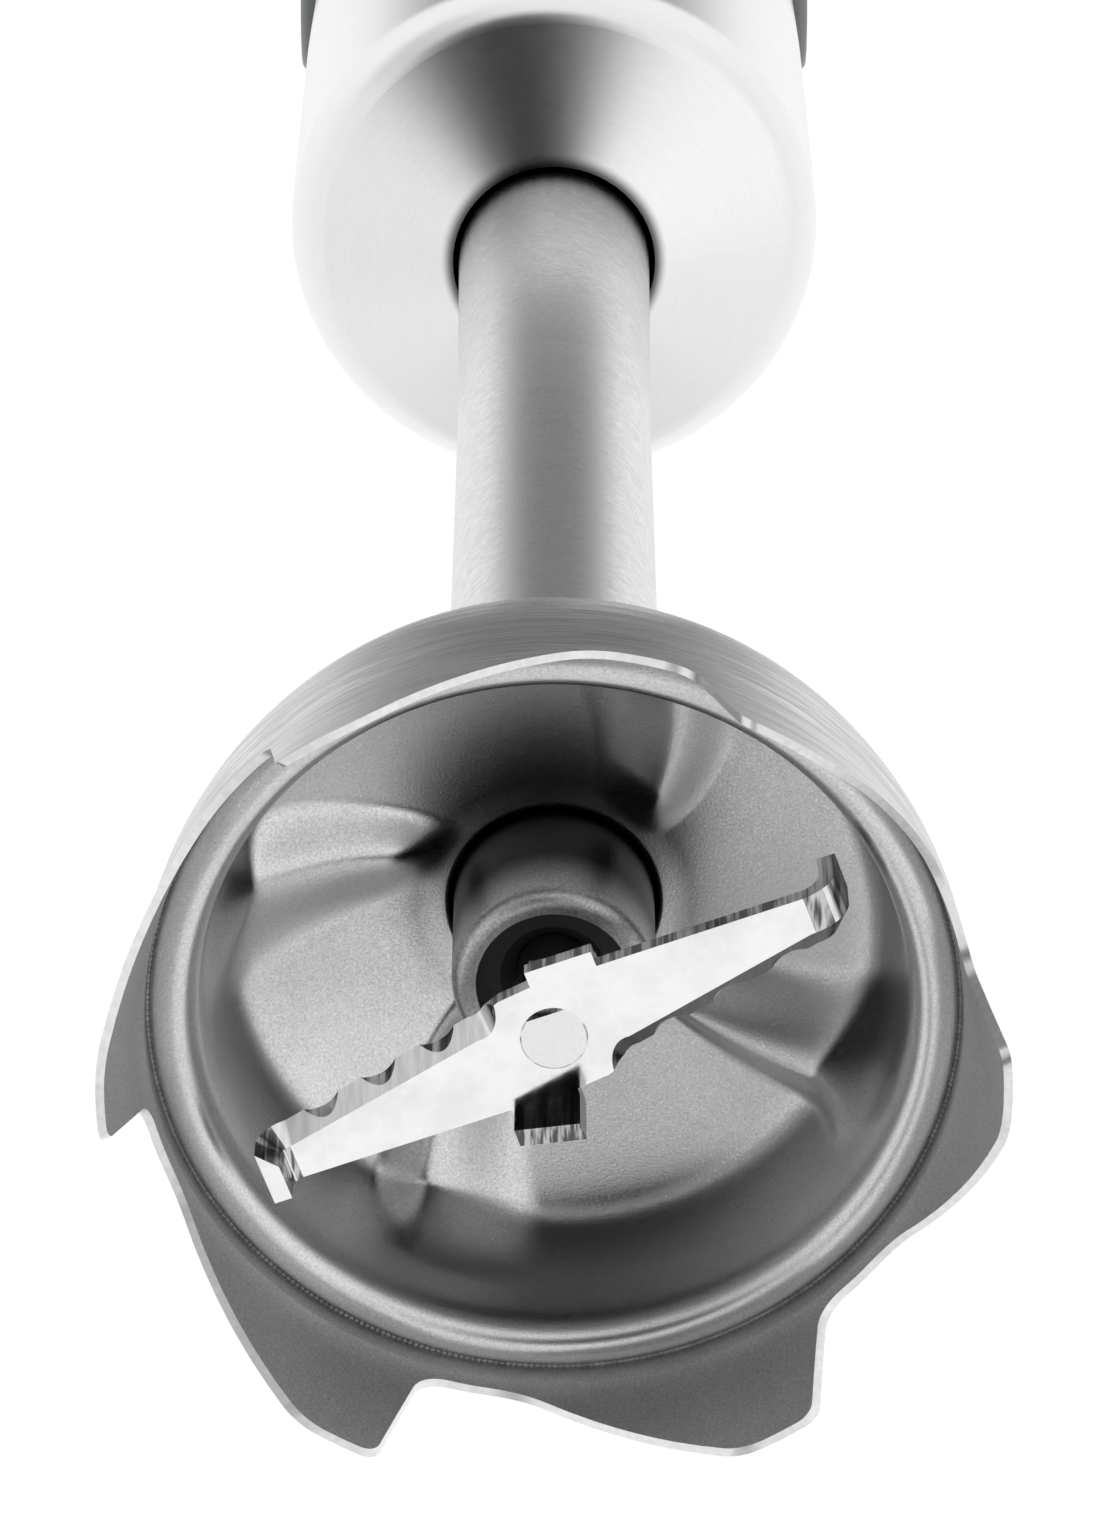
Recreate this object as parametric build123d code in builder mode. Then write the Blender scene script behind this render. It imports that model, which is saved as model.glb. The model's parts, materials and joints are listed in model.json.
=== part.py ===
"""Immersion blender: a detachable stainless steel blending leg under a motor unit.

Millimetres. +Z points up from the blade to the handle, and -Y is the front of the handle.
The origin is on the axis, in the plane that the six tips of the bell stand on.
The leg is the fixed body. The motor unit lifts off it, and its rotor turns the blade.
"""

import math
import os

from build123d import *

os.makedirs("parts", exist_ok=True)

# ---- driving dimensions ---------------------------------------------------------------
SHEET = 0.7  # pressed steel sheet
RUNNING = 0.04  # radial clearance of a running fit
GAP = 0.4  # room between pieces that move past each other

# bell
LOBES = 6
RIM_R = 36.2  # outer radius at the tips
SKIRT_MID_R = 35.0
SKIRT_MID_Z = 5.7
SKIRT_R = 33.8  # outer radius where the dome starts
SKIRT_Z = 12.4
DOME_SIDE_ARC = 44.0  # the dome's line is two tangent arcs
DOME_CROWN_ARC = 18.5
DOME_SIDE_ANGLE = 39.8
NECK_R = 10.2
NECK_FILLET = 4.0
NECK_TOP_Z = 58.0
NOTCH_ANGLE = 29.5  # direction of the first notch's middle
NOTCH_TOP_Z = 11.1

# liner and bearing boss
LINER_T = 0.8
ROOF_Z = 35.3  # lower face of the liner at the boss
BOSS_R = 8.4
BOSS_Z = 19.9
RECESS_R = 6.4
RIBS = 4
RIB_ANGLE = 20.0
RIB_H = 1.6
RIB_W = 3.2

# leg
TUBE_R = 9.5
TUBE_TOP_R = 10.1
TUBE_FOOT_Z = 50.0
TAPER_Z = 140.0
TUBE_TOP_Z = 200.0
COUPLER_TOP_Z = 214.0
BUSH_R = 5.5
SHAFT_R = 3.0
SHAFT_TOP_Z = 210.0

# blade
BLADE_Z = 10.4  # lower face
BLADE_T = 1.5
BLADE_ANGLE = -20.0
ARM_BACK = 4.95  # straight trailing edge, from the middle line
LOW_TIP = (23.3, 1.0, 2.0)  # reach of the flat part, inner bend radius and straight length
HIGH_TIP = (22.5, 1.8, 3.0)
BEVEL_START = (-5.7, -1.9)
BEVEL_END = (-23.3, 1.93)
BEVEL_W = 1.6
FLUTES = (3.1, 8.7, 14.2)  # along the bevel
FLUTE_R = 3.2
FLUTE_DEPTH = 1.07  # from the bevel line to the bottom of a flute, on the upper face
FLUTE_LEAN = (0.48, 0.88)  # outward and upward parts of a flute's direction
ROOT_FLUTE = (-5.9, -5.2)
ROOT_FLUTE_R = 2.3
TAB_X = (-5.4, 0.25)  # along the arm
LOW_TAB = (5.45, -2.7, -5.1)  # distance of the near face, end height at each side
HIGH_TAB = (3.7, 2.1, 4.3)
HUB_R = 3.6
RIVET_R = 2.75
RIVET_PROUD = 0.12
SHAFT_FLAT = 2.2

# motor unit housing
BODY_R = 27.9
BODY_WALL = 1.0
BODY_HOLE_R = 10.6
BODY_FOOT_Z = 186.7
BODY_CORNER_Z = 194.2
BODY_CORNER_FILLET = 6.0
BODY_STRAIGHT_Z = 246.0
BODY_TOP_R = 27.0
BODY_TOP_Z = 300.0

# grip
GRIP_FOOT_R = 26.4
GRIP_FOOT_Z = 303.0
GRIP_WAIST_R = 24.8
GRIP_WAIST_Z = 328.0
GRIP_TOP_R = 26.2
GRIP_TOP_Z = 372.0
GRIP_WALL = 2.2
CAP_TOP_Z = 384.0
CAP_FLAT_R = 20.5
CAP_T = 2.4
SCREW_X = 17.0
SCREW_Z = (311.0, 364.0)

# motor
STATOR_R = 19.0
STATOR_Z = 254.0
STATOR_H = 26.0
CORE_R = 11.0
SLOTS = 12
MOTOR_SHAFT_R = 2.5
MOTOR_SHAFT_Z = (215.0, 304.0)
FAN_R = 13.0
FAN_BLADES = 9
BOLT_Y = 17.2
BRUSH_Z = 291.0

# controls
ON_Z = 338.0
TURBO_Z = 316.0
BUTTON_R = 7.0
BUTTON_FACE_Y = -26.4
RELEASE_Z = 269.0
RELEASE_R = 6.8
RELEASE_PLAY = 0.8
PIVOT_X = 21.5
PIVOT_Z = 232.0
PIN_R = 1.5
DIAL_Y = -8.0
DIAL_R = 10.5
DIAL_STEM_R = 2.8
CORD_Y = 11.2
CORD_HOLE_R = 3.6
GLAND_TOP_Z = 396.0


# ---- helpers --------------------------------------------------------------------------
def save(piece, name):
    """Labels a finished piece and writes its STEP file."""
    piece.part.label = name
    export_step(piece.part, f"parts/{name}.step")
    return piece


def turned(outline, centre=(0, 0)):
    """A solid turned about a vertical axis from a closed outline of (radius, height) points."""
    with BuildPart() as piece:
        with BuildSketch(Plane.XZ.offset(-centre[1])):
            with Locations((centre[0], 0)):
                with BuildLine():
                    Polyline(*outline, close=True)
                make_face()
        revolve(axis=Axis((centre[0], centre[1], 0), (0, 0, 1)))
    return piece


def ring(r_in, r_out, z_low, z_high):
    """A plain ring on the main axis."""
    return turned([(r_in, z_low), (r_out, z_low), (r_out, z_high), (r_in, z_high)])


def along_y(y):
    """A sketch plane across the Y axis at height y on that axis: its x is X, its y is Z."""
    return Plane(origin=(0, y, 0), x_dir=(1, 0, 0), z_dir=(0, -1, 0))


def along_x(x):
    """A sketch plane across the X axis: its x is Y, its y is Z."""
    return Plane(origin=(x, 0, 0), x_dir=(0, 1, 0), z_dir=(1, 0, 0))


def coil(name, radius, wire_r, length, turns, frames):
    """Identical coil springs, one at each frame; each grows along its frame's z."""
    with BuildPart() as spring:
        with BuildLine():
            path = Helix(pitch=length / turns, height=length, radius=radius)
        with BuildSketch(Plane(origin=path @ 0, z_dir=path % 0)):
            Circle(wire_r)
        sweep(is_frenet=True)
    with BuildPart() as piece:
        for frame in frames:
            add(frame.location * spring.part)
    return save(piece, name)


# ---- bell -----------------------------------------------------------------------------
side_centre = Vector(SKIRT_R - DOME_SIDE_ARC, SKIRT_Z)
crown_centre = side_centre + Vector(DOME_SIDE_ARC - DOME_CROWN_ARC, 0).rotate(Axis.Z, DOME_SIDE_ANGLE)
neck_x = NECK_R + NECK_FILLET
neck_rise = math.sqrt((DOME_CROWN_ARC + NECK_FILLET) ** 2 - (neck_x - crown_centre.X) ** 2)
neck_centre = Vector(neck_x, crown_centre.Y + neck_rise)
crown_end = math.degrees(math.atan2(neck_rise, neck_x - crown_centre.X))


def bell_line(inset):
    """Draws the bell's line from the rim to the neck, moved inwards by inset."""
    rim = (RIM_R - inset, 0)
    middle = (SKIRT_MID_R - inset, SKIRT_MID_Z)
    ThreePointArc(rim, middle, (SKIRT_R - inset, SKIRT_Z))
    CenterArc(side_centre, DOME_SIDE_ARC - inset, 0, DOME_SIDE_ANGLE)
    CenterArc(crown_centre, DOME_CROWN_ARC - inset, DOME_SIDE_ANGLE, crown_end - DOME_SIDE_ANGLE)
    CenterArc(neck_centre, NECK_FILLET + inset, 180, crown_end)
    Line((NECK_R - inset, neck_centre.Y), (NECK_R - inset, NECK_TOP_Z))


with BuildPart() as bell_shell:
    with BuildSketch(Plane.XZ):
        with BuildLine():
            bell_line(0)
            bell_line(SHEET)
            Line((NECK_R, NECK_TOP_Z), (NECK_R - SHEET, NECK_TOP_Z))
            Line((RIM_R - SHEET, 0), (RIM_R, 0))
        make_face()
    revolve(axis=Axis.Z)
    for lobe in range(LOBES):
        heading = NOTCH_ANGLE + lobe * 360 / LOBES
        outward = Vector(1, 0, 0).rotate(Axis.Z, heading)
        sideways = Vector(0, 1, 0).rotate(Axis.Z, heading)
        with BuildSketch(Plane(origin=outward * (RIM_R * 0.6), x_dir=sideways, z_dir=outward)):
            with BuildLine():
                edge = FilletPolyline(
                    (-17.4, -2.0),
                    (-17.3, 0.0),
                    (-14.9, 0.0),
                    (3.0, NOTCH_TOP_Z),
                    (11.2, NOTCH_TOP_Z),
                    (14.8, 0.0),
                    (16.7, 0.0),
                    (16.8, -2.0),
                    radius=(0, 6.0, 9.0, 3.0, 1.7, 0),
                )
                Line(edge @ 1, edge @ 0)
            make_face()
        extrude(amount=RIM_R, mode=Mode.SUBTRACT)
save(bell_shell, "bell_shell")

# ---- liner: the pressed ceiling of the bell, with four swirling ribs --------------------
LINER_LINE = [
    (32.95, 14.8),
    (31.7, 13.2),
    (30.0, 14.8),
    (29.6, 19.0),
    (26.6, 27.0),
    (20.0, 33.4),
    (BOSS_R, ROOF_Z),
]
LINER_RADII = (1.1, 2.4, 9.0, 9.0, 9.0)
SWIRL_POINTS = ((15.5, 0), (21.5, 10), (26.2, 34))  # radius and angle along a rib's middle

swirls = [
    ThreePointArc(*[Vector(r, 0).rotate(Axis.Z, RIB_ANGLE + quarter + turn) for r, turn in SWIRL_POINTS])
    for quarter in range(0, 360, 360 // RIBS)
]


def liner_band(thickness, side):
    """A closed band along the liner's lower face; it lies above the face on the right side."""
    FilletPolyline(*LINER_LINE, radius=LINER_RADII)
    offset(amount=thickness, side=side)


with BuildPart() as ribs:
    with BuildSketch(Plane.XZ):
        with BuildLine():
            liner_band(RIB_H, Side.LEFT)
        make_face()
    revolve(axis=Axis.Z)
    with BuildSketch(Plane.XY):
        for swirl in swirls:
            SlotArc(swirl, RIB_W)
    extrude(amount=RIM_R, mode=Mode.INTERSECT)

with BuildPart() as bell_liner:
    with BuildSketch(Plane.XZ):
        with BuildLine():
            liner_band(LINER_T, Side.RIGHT)
        make_face()
    revolve(axis=Axis.Z)
    add(ribs.part)
save(bell_liner, "bell_liner")

# ---- leg ------------------------------------------------------------------------------
BOSS_LIP = 1.4
BOSS_SHOULDER_Z = 47.0
TUBE_IN_R = TUBE_R - SHEET

with BuildPart() as bearing_boss:
    with BuildSketch(Plane.XZ):
        with BuildLine():
            Polyline(
                (BOSS_R, BOSS_Z),
                (BOSS_R, BOSS_SHOULDER_Z),
                (TUBE_IN_R, TUBE_FOOT_Z),
                (TUBE_IN_R, TUBE_FOOT_Z + 12),
                (BUSH_R, TUBE_FOOT_Z + 12),
                (BUSH_R, BOSS_Z + 5),
                (RECESS_R, BOSS_Z + 5),
                (RECESS_R, BOSS_Z),
                close=True,
            )
        make_face()
        outside_corner = vertices().group_by(Axis.Y)[0].sort_by(Axis.X)[-1]
        fillet(outside_corner, BOSS_LIP)
    revolve(axis=Axis.Z)
save(bearing_boss, "bearing_boss")

save(ring(SHAFT_R + RUNNING, BUSH_R, BOSS_Z + 5.4, BOSS_Z + 23), "lower_bush")
save(
    turned(
        [
            (SHAFT_R + RUNNING, BOSS_Z + 3.4),
            (SHAFT_R + 1.4, BOSS_Z + 1.8),
            (RECESS_R, BOSS_Z + 1.4),
            (RECESS_R, BOSS_Z + 4.8),
            (SHAFT_R + 1.4, BOSS_Z + 4.8),
            (SHAFT_R + RUNNING, BOSS_Z + 4.4),
        ]
    ),
    "shaft_seal",
)
save(
    turned(
        [
            (TUBE_IN_R, TUBE_FOOT_Z),
            (TUBE_R, TUBE_FOOT_Z),
            (TUBE_R, TAPER_Z),
            (TUBE_TOP_R, TUBE_TOP_Z),
            (TUBE_TOP_R - SHEET, TUBE_TOP_Z),
            (TUBE_IN_R, TAPER_Z),
        ]
    ),
    "shaft_tube",
)
save(ring(SHAFT_R + RUNNING, TUBE_IN_R, 118.0, 130.0), "shaft_support")

COUPLER_IN_TUBE_R = 9.1
GROOVE_Z = (205.0, 209.0)
SOCKET_BORE_R = 7.2
coupler = turned(
    [
        (BUSH_R, 178.0),
        (COUPLER_IN_TUBE_R, 178.0),
        (COUPLER_IN_TUBE_R, TUBE_TOP_Z),
        (TUBE_TOP_R, TUBE_TOP_Z),
        (TUBE_TOP_R, 201.7),
        (9.0, 201.7),
        (9.0, 203.3),
        (TUBE_TOP_R, 203.3),
        (TUBE_TOP_R, GROOVE_Z[0]),
        (8.8, GROOVE_Z[0]),
        (8.8, GROOVE_Z[1]),
        (TUBE_TOP_R, GROOVE_Z[1]),
        (TUBE_TOP_R, COUPLER_TOP_Z - 0.8),
        (TUBE_TOP_R - 0.8, COUPLER_TOP_Z),
        (SOCKET_BORE_R, COUPLER_TOP_Z),
        (SOCKET_BORE_R, 204.0),
        (BUSH_R, 204.0),
    ]
)
save(coupler, "leg_coupler")
save(ring(SHAFT_R + RUNNING, BUSH_R, 188.0, 203.9), "upper_bush")

with BuildPart() as coupler_seal:
    with BuildSketch(Plane.XZ):
        with Locations((9.6, 202.5)):
            Circle(0.6)
    revolve(axis=Axis.Z)
save(coupler_seal, "coupler_seal")

# ---- blade and its drive shaft ----------------------------------------------------------
along = Vector(1, 0, 0).rotate(Axis.Z, BLADE_ANGLE)
across = Vector(0, 1, 0).rotate(Axis.Z, BLADE_ANGLE)
blade_foot = Vector(0, 0, BLADE_Z)
blade_plane = Plane(origin=blade_foot, x_dir=along, z_dir=(0, 0, 1))
bevel_start = Vector(*BEVEL_START)
bevel_dir = (Vector(*BEVEL_END) - bevel_start).normalized()
bevel_out = Vector(-bevel_dir.Y, bevel_dir.X)  # from the bevel line to the sharp edge
edge_start = bevel_start + bevel_out * BEVEL_W
SIDES = ((1, LOW_TIP), (-1, HIGH_TIP))  # side -1 is the opposite arm, turned half round


def in_blade(plan, side):
    """A vector of the blade's plan in the part's frame."""
    return (along * plan.X + across * plan.Y) * side


def front_at(start, reach):
    """Where a line along the bevel through start is when the arm has reached this far."""
    return start.Y + bevel_dir.Y * (-reach - start.X) / bevel_dir.X


def bevelled_tip(side, tip, up):
    """The bevelled section of an arm carried round a square bend, up or down."""
    reach, radius, tail = tip
    lift = 1 if up else -1
    outward = along * -side
    back = across * side
    bend_z = BLADE_T + radius if up else -radius
    section = [
        (front_at(bevel_start, reach), 0),
        (front_at(edge_start, reach), -BLADE_T),
        (ARM_BACK, -BLADE_T),
        (ARM_BACK, 0),
    ]
    start = blade_foot + outward * reach
    pivot = start + Vector(0, 0, bend_z)
    turned_start = pivot + outward * (lift * bend_z if up else radius)
    with BuildPart() as tip_part:
        with BuildSketch(Plane(origin=start, x_dir=back, z_dir=outward)):
            Polygon(*section, align=None)
        revolve(axis=Axis(pivot, back * lift), revolution_arc=90)
        with BuildSketch(Plane(origin=turned_start, x_dir=back, z_dir=(0, 0, lift))):
            Polygon(*section, align=None)
        extrude(amount=tail)
    return tip_part.part


def sheared_tab(side, tab):
    """A tab on an arm's straight edge, bent square, with its end sheared at a slant."""
    face_y, low_end, high_end = tab
    root_z = 0 if high_end > 0 else BLADE_T
    outward = across * side
    with BuildPart() as tab_part:
        with BuildSketch(Plane(origin=blade_foot + outward * face_y, x_dir=along * -side, z_dir=outward)):
            Polygon(
                (-TAB_X[0], root_z),
                (-TAB_X[1], root_z),
                (-TAB_X[1], high_end),
                (-TAB_X[0], low_end),
                align=None,
            )
        extrude(amount=BLADE_T)
        with BuildSketch(Plane(origin=blade_foot, x_dir=along * side, z_dir=(0, 0, 1))):
            with Locations(((TAB_X[0] + TAB_X[1]) / 2, ARM_BACK)):
                Rectangle(TAB_X[1] - TAB_X[0], 2 * abs(face_y - ARM_BACK) + 0.2)
        extrude(amount=BLADE_T)
    return tab_part.part


turned_ends = [
    bevelled_tip(1, LOW_TIP, up=False),
    bevelled_tip(-1, HIGH_TIP, up=True),
    sheared_tab(1, LOW_TAB),
    sheared_tab(-1, HIGH_TAB),
]

with BuildPart() as blade:
    for side, (reach, radius, tail) in SIDES:
        outline = [
            (-TAB_X[1], -ARM_BACK),
            (-3.1, -4.6),
            (edge_start.X, edge_start.Y),
            (-reach, front_at(edge_start, reach)),
            (-reach, ARM_BACK),
            (TAB_X[1], ARM_BACK),
        ]
        with BuildSketch(blade_plane):
            Polygon(*[(x * side, y * side) for x, y in outline], align=None)
        extrude(amount=BLADE_T)
    for side, (reach, radius, tail) in SIDES:
        outward = in_blade(bevel_out, side)
        run = in_blade(bevel_dir, side)
        corner = blade_foot + in_blade(bevel_start, side)
        with BuildSketch(Plane(origin=corner, x_dir=outward, z_dir=run)):
            Polygon(
                (0, 0),
                (2 * BEVEL_W, 2 * BLADE_T),
                (2 * BEVEL_W, -BLADE_T),
                (0, -BLADE_T),
                align=None,
            )
        extrude(amount=reach, mode=Mode.SUBTRACT)
        for distance in FLUTES:
            lean = outward * FLUTE_LEAN[0] + Vector(0, 0, FLUTE_LEAN[1])
            push = outward * FLUTE_LEAN[1] - Vector(0, 0, FLUTE_LEAN[0])
            valley = corner + run * distance + outward * FLUTE_DEPTH + Vector(0, 0, BLADE_T)
            with BuildSketch(Plane(origin=valley + push * FLUTE_R, z_dir=lean)):
                Circle(FLUTE_R)
            extrude(amount=2 * FLUTE_R, both=True, mode=Mode.SUBTRACT)
        slope = outward * BEVEL_W + Vector(0, 0, BLADE_T)
        root = blade_foot + in_blade(Vector(*ROOT_FLUTE), side)
        with BuildSketch(Plane(origin=root, z_dir=slope)):
            Circle(ROOT_FLUTE_R)
        extrude(amount=2 * FLUTE_R, both=True, mode=Mode.SUBTRACT)
    for turned_end in turned_ends:
        add(turned_end)
    with BuildSketch(blade_plane):
        Circle(RIVET_R)
    extrude(amount=BLADE_T, mode=Mode.SUBTRACT)
save(blade, "blade")

HUB_TOP_Z = 17.0
CLIP_Z = (204.9, 205.6)
CLIP_GROOVE_R = 2.6
with BuildPart() as drive_shaft:
    with BuildSketch(Plane.XZ):
        with BuildLine():
            Polyline(
                (0, BLADE_Z - RIVET_PROUD),
                (RIVET_R - RIVET_PROUD, BLADE_Z - RIVET_PROUD),
                (RIVET_R, BLADE_Z),
                (RIVET_R, BLADE_Z + BLADE_T),
                (SHAFT_R, BLADE_Z + BLADE_T),
                (SHAFT_R, CLIP_Z[0]),
                (CLIP_GROOVE_R, CLIP_Z[0]),
                (CLIP_GROOVE_R, CLIP_Z[1]),
                (SHAFT_R, CLIP_Z[1]),
                (SHAFT_R, SHAFT_TOP_Z),
                (0, SHAFT_TOP_Z),
                close=True,
            )
        make_face()
    revolve(axis=Axis.Z)
    with BuildSketch(Plane(origin=blade_foot - across * SHAFT_FLAT, x_dir=along, z_dir=across * -1)):
        Rectangle(2 * RIVET_R, 2 * BLADE_T - 0.2)
    extrude(amount=RIVET_R, mode=Mode.SUBTRACT)
save(drive_shaft, "drive_shaft")

save(ring(SHAFT_R, HUB_R, BLADE_Z + BLADE_T, HUB_TOP_Z), "blade_hub")
save(ring(SHAFT_R, 5.0, 204.2, 204.8), "thrust_washer")
with BuildPart() as shaft_clip:
    with BuildSketch(Plane.XY.offset(CLIP_Z[0])):
        Circle(4.4)
        Circle(CLIP_GROOVE_R, mode=Mode.SUBTRACT)
        with Locations((4, 0)):
            Rectangle(8, 4.0, mode=Mode.SUBTRACT)
    extrude(amount=CLIP_Z[1] - CLIP_Z[0])
save(shaft_clip, "shaft_clip")

DOG_R = 4.9
DOG_Z = (206.0, 213.2)
with BuildPart() as drive_dog:
    with BuildSketch(Plane.XY.offset(DOG_Z[0])):
        RegularPolygon(DOG_R, 6)
        Circle(SHAFT_R, mode=Mode.SUBTRACT)
    extrude(amount=SHAFT_TOP_Z - DOG_Z[0])
    with BuildSketch(Plane.XY.offset(SHAFT_TOP_Z)):
        RegularPolygon(DOG_R, 6)
    extrude(amount=DOG_Z[1] - SHAFT_TOP_Z)
    chamfer(faces().sort_by(Axis.Z)[-1].edges(), 0.6)
save(drive_dog, "drive_dog")

# ---- motor unit: housing and leg socket ---------------------------------------------------
with BuildPart() as steel_housing:
    with BuildSketch(Plane.XZ):
        with BuildLine():
            FilletPolyline(
                (BODY_HOLE_R, BODY_FOOT_Z),
                (BODY_R, BODY_CORNER_Z),
                (BODY_R, BODY_STRAIGHT_Z),
                (BODY_TOP_R, BODY_TOP_Z),
                radius=(BODY_CORNER_FILLET, 200.0),
            )
            offset(amount=-BODY_WALL, side=Side.LEFT)
        make_face()
    revolve(axis=Axis.Z)
    with BuildSketch(along_x(-BODY_R - 1)):
        with Locations((0, RELEASE_Z)):
            Circle(RELEASE_R + RELEASE_PLAY)
    extrude(amount=2 * BODY_R + 2, mode=Mode.SUBTRACT)
save(steel_housing, "steel_housing")

LATCH_Z = (205.4, 208.2)
SOCKET_R = 13.5
FLANGE_Z = (208.0, 211.0)
INSIDE_R = BODY_R - BODY_WALL - 0.05
ARM_W = 7.6
POST_R = 3.0
POST_X = 23.0
POST_ANGLES = (90, 210, 330)
SCREW_R = 1.2
posts = [Vector(POST_X, 0).rotate(Axis.Z, angle) for angle in POST_ANGLES]

leg_socket_body = turned(
    [
        (BODY_HOLE_R, 189.4),
        (SOCKET_R, 191.4),
        (SOCKET_R, FLANGE_Z[0]),
        (INSIDE_R, FLANGE_Z[0]),
        (INSIDE_R, FLANGE_Z[1]),
        (SOCKET_R, FLANGE_Z[1]),
        (SOCKET_R, 218.0),
        (7.6, 218.0),
        (7.6, COUPLER_TOP_Z + GAP),
        (BODY_HOLE_R, COUPLER_TOP_Z + GAP),
    ]
)
with BuildPart() as leg_socket:
    add(leg_socket_body.part)
    with BuildSketch(Plane.XY.offset(LATCH_Z[0] - 1.0)):
        for side in (-1, 1):
            with Locations((side * 18.25, 0)):
                Rectangle(18.5, ARM_W + 1.6)
    extrude(amount=FLANGE_Z[1] - LATCH_Z[0] + 2.0, mode=Mode.SUBTRACT)
    with BuildSketch(Plane.XY.offset(FLANGE_Z[0])):
        with Locations(*posts):
            Circle(SCREW_R + 0.3)
    extrude(amount=FLANGE_Z[1] - FLANGE_Z[0], mode=Mode.SUBTRACT)
save(leg_socket, "leg_socket")

# ---- motor brackets, bearings and stator -----------------------------------------------------
BRACKET_Z = (236.0, 240.0)
TOP_BRACKET_Z = (298.0, 302.0)
LOWER_BEARING_R = 8.0
UPPER_BEARING_R = 6.5
STATOR_TOP_Z = STATOR_Z + STATOR_H
BOLT_R = 1.5
EAR_T = 4.0
EAR_Y = ARM_W / 2 + 0.8

lower_plate = turned(
    [
        (6.0, 232.0),
        (9.5, 232.0),
        (9.5, BRACKET_Z[0]),
        (INSIDE_R, BRACKET_Z[0]),
        (INSIDE_R, BRACKET_Z[1]),
        (LOWER_BEARING_R, BRACKET_Z[1]),
        (LOWER_BEARING_R, 234.0),
        (6.0, 234.0),
    ]
)
with BuildPart() as lower_bracket:
    add(lower_plate.part)
    with BuildSketch(Plane.XY.offset(FLANGE_Z[1])):
        with Locations(*posts):
            Circle(POST_R)
    extrude(amount=BRACKET_Z[0] - FLANGE_Z[1])
    with BuildSketch(Plane.XY.offset(BRACKET_Z[0])):
        with Locations((0, BOLT_Y), (0, -BOLT_Y)):
            Circle(POST_R)
    extrude(amount=STATOR_Z - BRACKET_Z[0])
    for side in (-1, 1):
        for face in (-1, 1):
            with BuildSketch(along_y(face * EAR_Y)):
                with Locations((side * PIVOT_X, PIVOT_Z + 1.0)):
                    Rectangle(6.0, 8.0)
            extrude(amount=-face * EAR_T)
    with BuildSketch(Plane.XY.offset(BRACKET_Z[0] - 1)):
        for side in (-1, 1):
            with Locations((side * 23.6, 0)):
                Rectangle(9.2, 2 * EAR_Y)
    extrude(amount=BRACKET_Z[1] - BRACKET_Z[0] + 2, mode=Mode.SUBTRACT)
    with BuildSketch(along_y(20)):
        for side in (-1, 1):
            with Locations((side * PIVOT_X, PIVOT_Z)):
                Circle(PIN_R)
    extrude(amount=40, mode=Mode.SUBTRACT)
    with BuildSketch(Plane.XY.offset(FLANGE_Z[1])):
        with Locations(*posts):
            Circle(SCREW_R)
    extrude(amount=12, mode=Mode.SUBTRACT)
    with BuildSketch(Plane.XY.offset(BRACKET_Z[0])):
        with Locations((0, BOLT_Y), (0, -BOLT_Y)):
            Circle(BOLT_R)
    extrude(amount=STATOR_Z - BRACKET_Z[0], mode=Mode.SUBTRACT)
save(lower_bracket, "lower_bracket")

with BuildPart() as upper_bracket:
    with BuildSketch(Plane.XY.offset(TOP_BRACKET_Z[0])):
        Circle(GRIP_FOOT_R - GRIP_WALL - 0.2)
        Circle(UPPER_BEARING_R, mode=Mode.SUBTRACT)
    extrude(amount=TOP_BRACKET_Z[1] - TOP_BRACKET_Z[0])
    with BuildSketch(Plane.XY.offset(STATOR_TOP_Z)):
        with Locations((0, BOLT_Y), (0, -BOLT_Y)):
            Circle(POST_R)
    extrude(amount=TOP_BRACKET_Z[0] - STATOR_TOP_Z)
    with BuildSketch(Plane.XY.offset(BRUSH_Z + 2.6)):
        with Locations((14.5, 0), (-14.5, 0)):
            Rectangle(10, 7)
    extrude(amount=TOP_BRACKET_Z[0] - BRUSH_Z - 2.6)
    with BuildSketch(Plane.XY.offset(STATOR_TOP_Z)):
        with Locations((0, BOLT_Y), (0, -BOLT_Y)):
            Circle(BOLT_R)
    extrude(amount=TOP_BRACKET_Z[1] - STATOR_TOP_Z, mode=Mode.SUBTRACT)
save(upper_bracket, "upper_bracket")

save(ring(MOTOR_SHAFT_R + RUNNING, LOWER_BEARING_R, 234.0, 240.0), "lower_bearing")
save(ring(MOTOR_SHAFT_R + RUNNING, UPPER_BEARING_R, *TOP_BRACKET_Z), "upper_bearing")

POLE_FACE_R = CORE_R + 0.6
YOKE_R = 15.6
with BuildPart() as stator_core:
    with BuildSketch(Plane.XY.offset(STATOR_Z)):
        Circle(STATOR_R)
        Circle(YOKE_R, mode=Mode.SUBTRACT)
        Rectangle(2 * YOKE_R + 1, 9)
        Circle(POLE_FACE_R, mode=Mode.SUBTRACT)
        with Locations((0, BOLT_Y), (0, -BOLT_Y)):
            Circle(BOLT_R, mode=Mode.SUBTRACT)
    extrude(amount=STATOR_H)
save(stator_core, "stator_core")

COIL_OVERHANG = 4.0
with BuildPart() as field_coils:
    for side in (-1, 1):
        with BuildSketch(along_x(side * (POLE_FACE_R + 0.5))):
            with Locations((0, STATOR_Z + STATOR_H / 2)):
                RectangleRounded(13.0, STATOR_H + 2 * COIL_OVERHANG, 3.0)
                Rectangle(9, STATOR_H, mode=Mode.SUBTRACT)
        extrude(amount=side * 2.0)
save(field_coils, "field_coils")

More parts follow.
